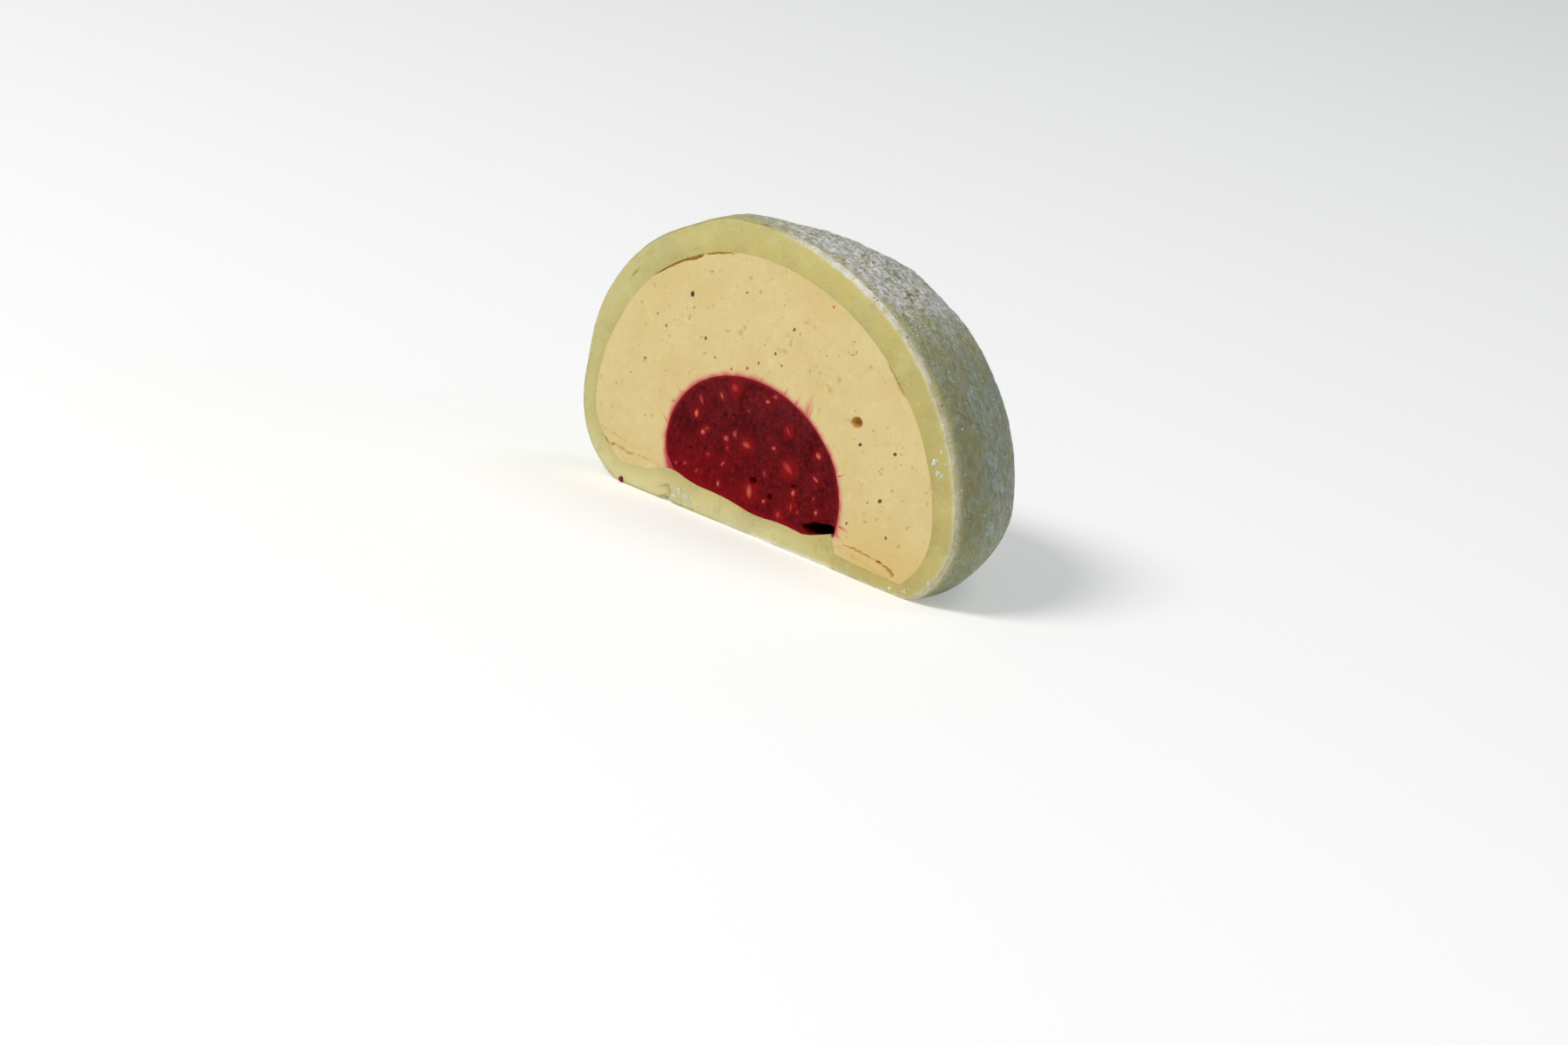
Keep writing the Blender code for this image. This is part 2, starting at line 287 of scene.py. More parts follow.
def press(directions, form, low, soft=0.0):
    """Presses a ball into a form, with what lies below the angle low as its floor. Soft rounds its foot."""
    x, y, z = directions.T
    level = np.maximum(np.hypot(x, y), 1e-9)
    rise_now = np.arctan2(z, level)
    below = (form["waist"] - form["floor"]) / sqrt(1 - (form["foot"] / form["half_width"]) ** 2)
    start = -asin((form["waist"] - form["floor"]) / below)
    total = 0.0
    steps = np.linspace(-soft, soft, 5) if soft else (0.0,)
    for step in steps:
        lift = np.clip(rise_now + step, -pi / 2, pi / 2)
        share = np.clip((lift - low) / (pi / 2 - low), 0.0, 1.0)
        inward = np.clip((lift + pi / 2) / (low + pi / 2), 0.0, 1.0)
        rise = start + (pi / 2 - start) * share
        width = form["half_width"] * np.cos(rise)
        reach = np.where(rise > 0, form["top"] - form["waist"], below)
        height = form["waist"] + reach * np.sin(rise)
        side, deep = x / level, y / level
        depth = width * DEPTH_SHARE * (1 + BACK_SWELL * height / HEIGHT)
        back = width / HALF_WIDTH * deep
        px = middle_x(height) + form["shift"] + width * side + BACK_SHIFT * height / HEIGHT * back**2
        px = px - form["pinch"] * np.minimum(side, 0.0) * np.exp(-(((height - PINCH_Z) / PINCH_REACH) ** 2))
        pz = height + BACK_LIFT * height / HEIGHT * np.sin(pi * back)
        centre_x = middle_x(form["floor"]) + form["shift"]
        px = centre_x + (px - centre_x) * inward
        py = CUT_Y + depth * deep * inward
        if form["floor"]:
            settled = np.maximum(0.0, (form["waist"] - pz) / (form["waist"] - form["floor"]))
            pz = pz + settled * (base_top(px, py) - form["floor"])
        total = total + np.stack([px, py, pz], axis=1)
    return total / len(steps)


def unit(points):
    """Distances from the middle, and directions whose steps are closer together next to the cut."""
    radius = np.linalg.norm(points, axis=1)
    directions = points / radius[:, None]
    back = np.arcsin(np.clip(directions[:, 1], 0.0, 1.0))
    eased = back**1.25 / (pi / 2) ** 0.25
    level = np.maximum(np.hypot(directions[:, 0], directions[:, 2]), 1e-9)
    scale = np.cos(eased) / level
    return radius, np.stack([directions[:, 0] * scale, np.sin(eased), directions[:, 2] * scale], axis=1)


def from_line(x, z, line):
    """The distance of each point of the face from a line, and the line's width and depth there."""
    best = np.full(len(x), 1e9)
    width = np.ones(len(x))
    depth = np.zeros(len(x))
    for (ax, az, aw, ad), (bx, bz, bw, bd) in zip(line, line[1:]):
        span = (bx - ax) ** 2 + (bz - az) ** 2
        along = np.clip(((x - ax) * (bx - ax) + (z - az) * (bz - az)) / span, 0.0, 1.0)
        away = np.hypot(x - ax - along * (bx - ax), z - az - along * (bz - az))
        closer = away < best
        best = np.where(closer, away, best)
        width = np.where(closer, aw + along * (bw - aw), width)
        depth = np.where(closer, ad + along * (bd - ad), depth)
    return best, width, depth


def knife_waves(points):
    """The slight waves that one stroke of the knife left across the dough and both fillings."""
    return 0.05 * waves(points * np.array([1.0, 0.0, 1.0]), 4.5, 2)


DENT_SPACING = 13.0
EDGE_ROUND = 0.5
FOOT_TURN = -0.5
DOUGH_FACE_BACK = 0.05
DEEPEST_CREASE = 0.35
# The outline swells or sinks at some angles: the angle and the spread in degrees, and how far it swells
SHOULDERS = ((127.0, 9.0, -0.7), (108.0, 9.0, -0.35), (194.0, 7.0, 0.45), (174.0, 9.0, -0.45))
BACK_SHOULDERS = ((109.0, 10.0, -0.45), (80.0, 10.0, 0.45), (58.0, 10.0, 0.25), (8.0, 18.0, 0.35))
# Creases run through points of the cut face, each with its x, its z, and the crease's width and depth there
DOUGH_CREASES = (
    ((-25.4, 24.1, 0.09, 0.1), (-24.9, 24.9, 0.15, 0.35), (-24.1, 25.9, 0.09, 0.1)),
    ((-14.6, 1.3, 0.15, 0.1), (-12.9, 1.9, 0.22, 0.35), (-12.4, 1.1, 0.25, 0.3)),
)
skin = walled_ball("dough_skin", 120, 56, 16, 5, ((0, 1, 0),), 3)
radius, directions = unit(points_of(skin))
depth_share = np.clip(2 - radius, 0.0, 1.0)
outside = depth_share < 0.005
on_cut = directions[:, 1] < 1e-5
outer = press(directions, DOUGH, FOOT_TURN, soft=0.07)
inner = press(directions, FILLING, FOOT_TURN)
centre = np.array([middle_x(DOUGH["waist"]), CUT_Y, DOUGH["waist"]])
outward = outer - centre
outward /= np.linalg.norm(outward, axis=1)[:, None]
behind = np.clip((outer[:, 1] - CUT_Y) / 6.0, 0.0, 1.0)
above = np.clip(outer[:, 2] / 6.0, 0.0, 1.0)
turn = np.degrees(np.arctan2(outer[:, 2] - centre[2], outer[:, 0] - centre[0])) % 360
for shoulders, strength in ((SHOULDERS, 1 - behind**2), (BACK_SHOULDERS, behind)):
    for angle, spread, swell in shoulders:
        off = (turn - angle + 180.0) % 360.0 - 180.0
        outer += outward * (swell * strength * np.exp(-((off / spread) ** 2)))[:, None]
crown = ease(outer[:, 2], 22.0, 33.0) * ease(outer[:, 0], -18.0, 2.0)
dents = 0.2 * (waves(outer, DENT_SPACING) + 0.4 * waves(2 * outer, DENT_SPACING)) * behind
lumps = 0.10 * waves(outer, 3.2, 2) + (0.05 + 0.13 * crown) * waves(outer, 1.2, 2)
outer += outward * ((dents + lumps * np.clip(behind * 4 + 0.4, 0, 1)) * above)[:, None]
rise = outer[:, 2]
seam_x = -12.9 + 0.14 * (outer[:, 1] - CUT_Y)
seam_fade = 1 - ease(outer[:, 1] - CUT_Y, 6.0, 16.0)
seam_depth = 0.6 * np.exp(-(((outer[:, 0] - seam_x) / 0.6) ** 2)) * seam_fade
outer[:, 2] = rise + seam_depth * (1 - ease(rise, 0.3, 2.0))
spread = depth_share**1.4
shape = outer + (inner - outer) * spread[:, None]
thickness = np.linalg.norm(outer - inner, axis=1)
from_edge = np.where(on_cut, spread * thickness, shape[:, 1] - CUT_Y)
left = np.clip(EDGE_ROUND - from_edge, 0.0, EDGE_ROUND)
drawn_in = EDGE_ROUND - np.sqrt(EDGE_ROUND**2 - left**2)
shape[:, 1] += np.where(on_cut, drawn_in, 0.0)
shape -= outward * np.where(outside, drawn_in, 0.0)[:, None] * np.array([1.0, 0.0, 1.0])
crease = np.zeros(len(shape))
for line in DOUGH_CREASES:
    away, width, depth = from_line(shape[:, 0], shape[:, 2], line)
    crease = np.maximum(crease, depth / DEEPEST_CREASE * np.exp(-((away / width) ** 2)))
shape[:, 1] += np.where(on_cut, knife_waves(shape) + DOUGH_FACE_BACK + 0.2 * crease, 0.0)
shape[:, 2] = np.maximum(shape[:, 2], 0.0)
put_points(skin, shape)
smooth(skin)
x, y, z = shape.T
mark(skin, "outside", np.where(outside, ease(y - CUT_Y, 0.1, 2.6), 0.0))
rim_reach = np.where(outside, 1.0, 0.4)
rim = np.exp(-((from_edge / rim_reach) ** 2)) * ease(x, -7.0, 0.0) * np.where(outside | on_cut, 1.0, 0.0)
# Thick starch at the cut's edge, which the material also paints brighter as a highlight
mark(skin, "rim_dust_and_highlight", rim)
shoulder = ease(z, 10.0, 30.0) * ease(x, 6.0, 20.0)
to_back = ease(y - CUT_Y, 3.0, 10.0) * ease(x, 4.0, 16.0) * (1 - 0.7 * ease(z, 20.0, 29.0))
powder = 0.25 + 0.6 * crown * (1 - 0.8 * ease(x, 9.0, 18.0)) + 0.23 * to_back
mark(skin, "powder", powder)
# The back right, where the material paints the dust bluish grey as cool shade
mark(skin, "cool", to_back)
# The dough's inner wall, which shows only in the gaps and which the material paints golden as light shining
# through the paste
mark(skin, "inside", np.where(outside | on_cut, 0.0, 1.0))
mark(skin, "inner", np.where(on_cut, ease(spread, 0.35, 1.0), 0.0))
mark(skin, "crease", np.where(on_cut, crease, 0.0))


def between(tree, value, low, high, to_low=0.0, to_high=1.0):
    """A value mapped smoothly from one range to another."""
    inputs = {"Value": value, "From Min": low, "From Max": high, "To Min": to_low, "To Max": to_high}
    return put(tree, "MapRange", inputs, interpolation_type="SMOOTHSTEP")


# The even grain of a paste, used by the dough, both fillings and the loose bits
grain = bpy.data.node_groups.new("paste_grain", "ShaderNodeTree")
grain.interface.new_socket(name="Vector", in_out="INPUT", socket_type="NodeSocketVector")
for name in ("Patch Scale", "Grain Scale"):
    grain.interface.new_socket(name=name, in_out="INPUT", socket_type="NodeSocketFloat")
for name in ("Patches", "Grain", "Height"):
    grain.interface.new_socket(name=name, in_out="OUTPUT", socket_type="NodeSocketFloat")
entry = grain.nodes.new("NodeGroupInput").outputs
result = grain.nodes.new("NodeGroupOutput").inputs
patches = between(grain, noisy(grain, entry[0], entry[1], 3.0, 0.55), 0.3, 0.7)
fine = noisy(grain, entry[0], entry[2], 4.0, 0.65)
fine = put(grain, "MapRange", {"Value": fine, "From Min": 0.25, "From Max": 0.75})
both = put(grain, "Math", {0: fine, 1: patches, 2: 0.35}, operation="MULTIPLY_ADD")
grain.links.new(patches, result[0])
grain.links.new(fine, result[1])
grain.links.new(both, result[2])


def millimetres(tree):
    """The place on the piece, in millimetres."""
    return put(tree, "Mapping", {"Vector": put(tree, "TexCoord", out=3), "Scale": (1000, 1000, 1000)})


def paste(tree, place, patch_scale, grain_scale):
    """The paste grain with its patches, grain and height."""
    made = tree.nodes.new("ShaderNodeGroup")
    made.node_tree = grain
    tree.links.new(place, made.inputs[0])
    made.inputs[1].default_value = patch_scale
    made.inputs[2].default_value = grain_scale
    return made.outputs


def value_of(tree, name):
    """A value that the mesh stores for its vertices."""
    return put(tree, "Attribute", out=2, attribute_name=name)


def mix(tree, share, first, second):
    """A colour between two colours."""
    return put(tree, "Mix", {0: share, 6: first, 7: second}, 2, data_type="RGBA")


def sums(tree, operation, first, second, third=0.0):
    """One step of arithmetic."""
    return put(tree, "Math", {0: first, 1: second, 2: third}, operation=operation)


def times(tree, first, second):
    """The product of two values."""
    return sums(tree, "MULTIPLY", first, second)


def apart(tree, place):
    """The x, y and z of a place."""
    made = tree.nodes.new("ShaderNodeSeparateXYZ")
    tree.links.new(place, made.inputs[0])
    return made.outputs


def emboss(tree, shader, height, distance, strength):
    """Gives the surface a relief, in which a height of 1 stands for this distance."""
    bump = put(tree, "Bump", {"Height": height, "Distance": distance, "Strength": strength})
    tree.links.new(bump, shader.inputs["Normal"])


dough_finish, tree, shader = finish(
    "dusted_dough", Subsurface_Weight=0.25, Subsurface_Radius=(1.0, 0.85, 0.45), Subsurface_Scale=0.0012,
    Specular_IOR_Level=0.3
)
place = millimetres(tree)
patches, fine, height = paste(tree, place, 0.22, 2.2)[:3]
x_at, _, z_at = apart(tree, place)
low_down = times(tree, between(tree, z_at, 7.0, 1.0), between(tree, x_at, 15.0, 4.0))
to_left = between(tree, x_at, -8.0, -24.0)
to_right = between(tree, x_at, 8.0, 22.0)
cut_colour = mix(tree, patches, tone(198, 184, 112), tone(205, 191, 126))
cut_colour = mix(tree, times(tree, to_right, 0.8), cut_colour, tone(188, 174, 108))
cut_colour = mix(tree, times(tree, to_left, 0.8), cut_colour, tone(197, 188, 131))
cut_colour = mix(tree, times(tree, low_down, 0.85), cut_colour, tone(212, 203, 151))
cut_colour = mix(tree, times(tree, value_of(tree, "inner"), 0.35), cut_colour, tone(186, 170, 92))
cut_colour = mix(tree, between(tree, fine, 0.45, 0.05, 0.0, 0.25), cut_colour, tone(176, 158, 84))
mottled = noisy(tree, place, 0.5, 4.0, 0.6)
cut_colour = mix(tree, between(tree, mottled, 0.55, 0.7, 0.0, 0.4), cut_colour, tone(206, 197, 144))
cut_colour = mix(tree, between(tree, mottled, 0.45, 0.3, 0.0, 0.4), cut_colour, tone(182, 167, 94))
cut_colour = mix(tree, times(tree, value_of(tree, "crease"), 0.75), cut_colour, tone(166, 152, 72))
streak_place = put(tree, "Mapping", {"Vector": place, "Scale": (0.42, 1.0, 0.42)})
streaks = noisy(tree, streak_place, 0.95, 4.0, 0.6, 0.8)
clumps = noisy(tree, place, 0.85, 5.0, 0.65, 0.5)
broad = noisy(tree, place, 0.28, 2.0)
granules = noisy(tree, place, 1.7, 3.0, 0.6)
powder = value_of(tree, "powder")
dusty = between(tree, powder, 0.4, 0.78)
gentle = between(tree, clumps, 0.25, 0.75)
clotted = sums(tree, "SUBTRACT", between(tree, clumps, 0.4, 0.6), gentle)
clotted = sums(tree, "MULTIPLY_ADD", clotted, dusty, gentle)
strewn = sums(tree, "MULTIPLY_ADD", clotted, 0.65, sums(tree, "SUBTRACT", powder, 0.7))
strewn = sums(tree, "MULTIPLY_ADD", between(tree, streaks, 0.3, 0.7), 0.32, strewn)
strewn = sums(tree, "MULTIPLY_ADD", between(tree, broad, 0.3, 0.7), 0.5, strewn)
dust = between(tree, strewn, -0.1, 1.0)
skin_colour = mix(tree, patches, tone(174, 170, 106), tone(192, 188, 128))
# The skin and its dust are painted darker on the right side: painted shade
painted_right_shade = times(tree, to_right, 0.8)
skin_colour = mix(tree, painted_right_shade, skin_colour, mix(tree, patches, tone(136, 135, 96), tone(152, 152, 116)))
pits = times(tree, between(tree, clumps, 0.5, 0.4), between(tree, dusty, 0.0, 1.0, 0.15, 0.9))
skin_colour = mix(tree, pits, skin_colour, tone(106, 99, 60))
line = sums(tree, "ABSOLUTE", sums(tree, "SUBTRACT", streaks, 0.5), 0.0)
craze = times(tree, between(tree, line, 0.02, 0.0), between(tree, broad, 0.45, 0.6))
skin_colour = mix(tree, times(tree, craze, 0.25), skin_colour, tone(98, 92, 48))
bright = between(tree, granules, 0.38, 0.62)
dust_colour = mix(tree, bright, tone(188, 188, 154), tone(208, 209, 184))
dust_colour = mix(tree, painted_right_shade, dust_colour, mix(tree, bright, tone(150, 152, 130), tone(170, 173, 154)))
# The real dust here is painted bluish grey: the colour of the cool shade on this side
cool_shade_dust_colour = mix(tree, bright, tone(158, 169, 163), tone(182, 195, 191))
dust_colour = mix(tree, value_of(tree, "cool"), dust_colour, cool_shade_dust_colour)
dust_colour = mix(tree, dusty, dust_colour, mix(tree, bright, tone(196, 193, 178), tone(248, 247, 243)))
skin_colour = mix(tree, dust, skin_colour, dust_colour)
outside_mask = value_of(tree, "outside")
frayed = sums(tree, "ADD", outside_mask, between(tree, clumps, 0.35, 0.65, -0.3, 0.3))
frayed = times(tree, between(tree, frayed, -0.1, 0.95), between(tree, outside_mask, 0.0, 0.2))
colour = mix(tree, frayed, cut_colour, skin_colour)
# The cut's edge is painted near white: thick starch, and a painted highlight where the rounded edge faces
# the light
rim_dust_and_highlight = times(tree, value_of(tree, "rim_dust_and_highlight"), between(tree, clumps, 0.38, 0.6, 0.45, 1.0))
colour = mix(tree, rim_dust_and_highlight, colour, mix(tree, to_right, tone(248, 246, 236), tone(228, 224, 196)))
# The inner wall is painted golden: a painted glow of light shining through the paste into the gaps
colour = mix(tree, value_of(tree, "inside"), colour, tone(214, 178, 84))
tree.links.new(colour, shader.inputs["Base Color"])
rough = sums(tree, "ADD", between(tree, frayed, 0.0, 1.0, 0.5, 0.85), times(tree, fine, 0.08))
tree.links.new(rough, shader.inputs["Roughness"])
relief = sums(tree, "MULTIPLY_ADD", granules, between(tree, dusty, 0.0, 1.0, 0.2, 0.6), clumps)
relief = times(tree, relief, between(tree, dusty, 0.0, 1.0, 0.35, 1.0))
relief = times(tree, frayed, sums(tree, "MULTIPLY_ADD", craze, -0.25, relief))
relief = sums(tree, "MULTIPLY_ADD", height, 0.25, relief)
emboss(tree, shader, relief, 0.0011, 0.8)
skin.data.materials.append(dough_finish)
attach(skin, "root")
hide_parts("mochi_skin")


# Pistachio cream
# A firm, pale nut cream that fills the dough round the raspberry. The knife left its face smooth, with an
# air bubble, torn seams next to the dough, pits, and a pink stain where juice has bled from the raspberry.
BERRY = dict(half_width=13.75, waist=7.2, top=18.0, foot=12.5, shift=-1.6, floor=BASE_THICKNESS, pinch=0.0)
OVERLAP = 0.03
CREAM_FACE_BACK = 0.06
REACH_BELOW = 12.0
# The bubble's x, z, half width, half height and depth; each pit's x, z and radius; the x and z of each
# spike's foot and tip, and half its width; the x of points along each gap, and the gap's widths there
BUBBLE = (12.5, 17.75, 0.86, 0.68, 1.15)
CREAM_CREASES = (
    ((14.5, 3.3, 0.08, 0.15), (16.2, 3.4, 0.10, 0.25), (18.2, 3.25, 0.09, 0.25), (19.9, 3.0, 0.17, 0.6),
     (21.2, 2.85, 0.10, 0.3), (22.4, 2.2, 0.20, 0.7)),
    ((24.3, 1.9, 0.08, 0.2), (24.8, 2.3, 0.17, 0.5), (25.0, 2.6, 0.08, 0.1)),
    ((-25.0, 4.7, 0.12, 0.15), (-23.3, 4.05, 0.22, 0.35), (-22.2, 4.1, 0.20, 0.3), (-20.1, 3.75, 0.14, 0.25),
     (-17.6, 3.9, 0.14, 0.15), (-14.9, 3.9, 0.12, 0.1)),
    ((-24.6, 5.6, 0.10, 0.10), (-22.6, 5.3, 0.14, 0.15), (-20.4, 4.9, 0.12, 0.1)),
    ((13.6, 2.9, 0.10, 0.05), (17.0, 2.35, 0.12, 0.12), (21.8, 1.6, 0.10, 0.06)),
    ((8.9, 25.4, 0.07, 0.08), (9.3, 25.1, 0.10, 0.14), (9.9, 25.1, 0.09, 0.14), (10.3, 25.4, 0.07, 0.08)),
)
PITS = (
    (-7.1, 22.7, 0.28), (-6.7, 23.4, 0.24), (-15.2, 22.3, 0.26), (-22.9, 21.9, 0.24), (-5.5, 28.2, 0.2),
    (-7.4, 29.4, 0.18), (-14.9, 11.8, 0.3), (8.7, 21.7, 0.26), (7.7, 20.1, 0.3), (12.7, 24.4, 0.28),
    (17.6, 13.6, 0.2), (17.6, 13.0, 0.2), (16.9, 6.9, 0.2), (22.4, 5.7, 0.22), (-0.1, 22.5, 0.24),
)
SPIKES = (
    (4.9, 15.7, 5.45, 19.5, 1.1), (5.6, 15.3, 5.6, 19.0, 0.5), (3.2, 16.9, 3.7, 18.5, 0.7),
    (1.2, 17.5, 1.7, 18.9, 0.5), (-2.6, 18.0, -2.3, 19.3, 0.35), (-14.8, 9.0, -16.6, 10.4, 0.3),
    (-13.6, 12.9, -15.0, 14.0, 0.3), (13.4, 5.2, 15.2, 5.0, 0.4), (12.9, 4.4, 14.6, 3.6, 0.35),
    (11.6, 10.8, 12.8, 11.5, 0.3),
)
GAP_LEFT = ((-22.2, -21.2, -18.5, -16.0, -15.4, -15.0, -14.6, -12.9, -11.0, -10.0),
            (0.0, 0.18, 0.24, 0.4, 0.32, 0.02, 0.15, 0.22, 0.12, 0.0))
GAP_RIGHT = ((14.6, 15.4, 16.4, 17.3, 18.2, 19.4), (0.0, 0.18, 0.26, 0.42, 0.24, 0.0))


def beyond(x, z, form):
    """How far a point of the cut face lies outside a filling's outline, in about millimetres."""
    dx = x - middle_x(z) - form["shift"]
    dz = z - form["waist"]
    reach = np.where(dz > 0, form["top"] - form["waist"], REACH_BELOW)
    share = np.hypot(dx / form["half_width"], dz / reach)
    return (share - 1) * np.hypot(dx, dz) / np.maximum(share, 1e-6)


def gap_width(x, z):
    """The width of the gaps that tore open between the cream and the dough."""
    return (np.interp(x, *GAP_LEFT) + np.interp(x, *GAP_RIGHT)) * ease(z, 20.0, 22.0)


def larger(form, by):
    """The same form, this much larger all round."""
    return form | {"half_width": form["half_width"] + by, "top": form["top"] + by, "foot": form["foot"] + by}


def finer(piece, near):
    """Subdivides the faces whose middles a test picks out."""
    bpy.context.view_layer.objects.active = piece
    bpy.ops.object.mode_set(mode="EDIT")
    bpy.ops.mesh.select_mode(type="FACE")
    bpy.ops.mesh.select_all(action="DESELECT")
    bpy.ops.object.mode_set(mode="OBJECT")
    centres = read(piece.data.polygons, "center", 3) / MM
    piece.data.polygons.foreach_set("select", near(*centres.T))
    bpy.ops.object.mode_set(mode="EDIT")
    bpy.ops.mesh.subdivide(number_cuts=1)
    bpy.ops.object.mode_set(mode="OBJECT")


cream = walled_ball("pistachio_cream_fill", 180, 16, 16, 15, ((0, 1, 0), (0, 0, 1)), 3)
radius, directions = unit(points_of(cream))
directions[:, 2] = np.maximum(directions[:, 2], 0.0)
depth_share = np.clip(2 - radius, 0.0, 1.0)
form = larger(FILLING, OVERLAP)
hollow_form = larger(BERRY, -OVERLAP)
outer = press(directions, form, 0.0)
inner = press(directions, hollow_form, 0.0)
shape = outer + (inner - outer) * depth_share[:, None]
feet = directions * np.array([1.0, 1.0, 0.0])
floor = press(feet, form, 0.0)[:, 2] * (1 - depth_share) + press(feet, hollow_form, 0.0)[:, 2] * depth_share
settled = np.clip((form["waist"] - shape[:, 2]) / (form["waist"] - floor), 0.0, 1.0)
shape[:, 2] += settled * (base_top(shape[:, 0], shape[:, 1]) - OVERLAP - floor)
put_points(cream, shape)
bpy.ops.object.select_all(action="DESELECT")
cream.select_set(True)


def in_detail(x, y, z):
    """Where the face of the cream has fine detail."""
    close = np.hypot((x - BUBBLE[0]) / BUBBLE[2], (z - BUBBLE[1]) / BUBBLE[3]) < 1.5
    close |= (gap_width(x, z) > 0.01) & (beyond(x, z, FILLING) > -0.7)
    for line in CREAM_CREASES:
        close |= from_line(x, z, line)[0] < 0.45
    for pit_x, pit_z, size in PITS:
        close |= np.hypot(x - pit_x, z - pit_z) < size + 0.2
    for ax, az, bx, bz, half in SPIKES:
        close |= from_line(x, z, ((ax, az, 1.0, 1.0), (bx, bz, 1.0, 1.0)))[0] < 0.5 * half + 0.25
    return close & (y < CUT_Y + 0.01)


def in_halo(x, y, z):
    """Where the face has fine detail or lies close to the raspberry."""
    return in_detail(x, y, z) | ((np.abs(beyond(x, z, BERRY) - 0.4) < 1.0) & (y < CUT_Y + 0.01))


finer(cream, in_halo)
finer(cream, in_detail)
shape = points_of(cream) / MM
x, y, z = shape.T
face = y < CUT_Y + 0.005
# Cracks, pits, the bubble and the torn gaps are sunk into the face and painted golden brown: painted shade
# in the recesses, and light shining through the paste
painted_recess_shade = np.zeros(len(x))
sunk = np.zeros(len(x))
rough_x = x + 0.12 * waves(shape, 0.6, 2)
rough_z = z + 0.12 * waves(shape + 9.0, 0.6, 2)
broken = 0.3 + 0.7 * ease(waves(shape, 0.8, 2), -0.35, 0.15)
for line in CREAM_CREASES:
    away, width, depth = from_line(rough_x, rough_z, line)
    groove = np.exp(-((away / width) ** 2)) * broken
    sunk = np.maximum(sunk, depth * groove)
    painted_recess_shade = np.maximum(painted_recess_shade, 0.9 * groove * np.clip(depth / 0.4, 0.3, 1.0))
for pit_x, pit_z, size in PITS:
    dip = np.exp(-((np.hypot(rough_x - pit_x, rough_z - pit_z) / size) ** 2))
    sunk = np.maximum(sunk, 0.2 * dip)
    painted_recess_shade = np.maximum(painted_recess_shade, 0.6 * dip)
bubble = np.hypot((x - BUBBLE[0]) / BUBBLE[2], (z - BUBBLE[1]) / BUBBLE[3])
sunk = np.maximum(sunk, BUBBLE[4] * (1 - ease(bubble, 0.62, 1.02)))
painted_recess_shade = np.maximum(painted_recess_shade, 1 - ease(bubble, 0.8, 1.05))
gap = gap_width(x, z)
from_gap = (beyond(rough_x, rough_z, FILLING) + 0.5 * gap) / (0.55 * gap + 0.01)
torn = np.exp(-(from_gap**2)) * ease(gap, 0.0, 0.15)
sunk = np.maximum(sunk, 1.6 * gap * torn)
painted_recess_shade = np.maximum(painted_recess_shade, torn)
smear = knife_waves(shape) + 0.015 * waves(shape, 0.9, 2) * ease(beyond(x, z, BERRY), 0.0, 1.0)
corner = ease(6.5 - z, 0.0, 3.0) * (ease(-x, 13.0, 17.0) + ease(x, 13.0, 16.0))
smear += 0.07 * corner * waves(shape * np.array([0.6, 1.0, 2.2]), 1.3, 2)
shape[:, 1] = np.where(face, y + sunk + smear + CREAM_FACE_BACK, y)
put_points(cream, shape)
smooth(cream)
# The cream's hidden sides, seen in the gaps, get the same painted golden shade and light
mark(cream, "painted_recess_shade", np.where(face, painted_recess_shade, 0.8 * ease(y - CUT_Y, 0.05, 0.5)))

away = beyond(x, z, BERRY)
uneven = waves(shape, 1.4, 2)
stain = 1 - ease(away + 0.14 * uneven, -0.35, 1.05)
stain *= np.where(x > 0, ease(z, 3.0, 4.2), 1.0)
for ax, az, bx, bz, half in SPIKES:
    line = ((ax, az, half, 1.0), (bx, bz, 0.12, 0.25))
    off, width, strength = from_line(rough_x, rough_z, line)
    stain = np.maximum(stain, 0.85 * strength * np.exp(-((off / (0.8 * width)) ** 2)))
blush = np.exp(-(((x - 2.2) / 1.9) ** 2 + ((z - 28.3) / 2.8) ** 2)) * (0.75 + 0.5 * waves(shape, 2.0, 2))
mark(cream, "stain", np.where(face, stain, 0.6 * (away < 1.0)))
mark(cream, "blush", np.where(face, np.clip(blush, 0.0, 1.0), 0.0))

cream_finish, tree, shader = finish(
    "pistachio_cream_paste", Subsurface_Weight=0.2, Subsurface_Radius=(1.0, 0.75, 0.4),
    Subsurface_Scale=0.001, Specular_IOR_Level=0.35
)
place = millimetres(tree)
patches, fine, height = paste(tree, place, 0.16, 1.6)[:3]
spots = noisy(tree, place, 0.75, 3.0)
colour = mix(tree, patches, tone(212, 189, 131), tone(218, 198, 142))
colour = mix(tree, between(tree, spots, 0.55, 0.75, 0.0, 0.5), colour, tone(206, 186, 114))
colour = mix(tree, between(tree, spots, 0.45, 0.25, 0.0, 0.5), colour, tone(226, 206, 150))
# Tiny pits, sunk only by the relief and painted darker amber: painted shade in them
pocks = between(tree, noisy(tree, place, 1.1, 4.0, 0.65, 0.4), 0.63, 0.74)
colour = mix(tree, times(tree, pocks, 0.5), colour, tone(194, 154, 84))
height = sums(tree, "MULTIPLY_ADD", pocks, -1.2, height)
colour = mix(tree, between(tree, fine, 0.35, 0.0, 0.0, 0.45), colour, tone(200, 172, 104))
colour = mix(tree, times(tree, value_of(tree, "blush"), 0.5), colour, tone(220, 178, 128))
x_at, _, z_at = apart(tree, place)
corner = times(tree, between(tree, z_at, 9.0, 2.0), between(tree, x_at, 10.0, 17.0))
colour = mix(tree, times(tree, corner, 0.7), colour, tone(212, 182, 114))
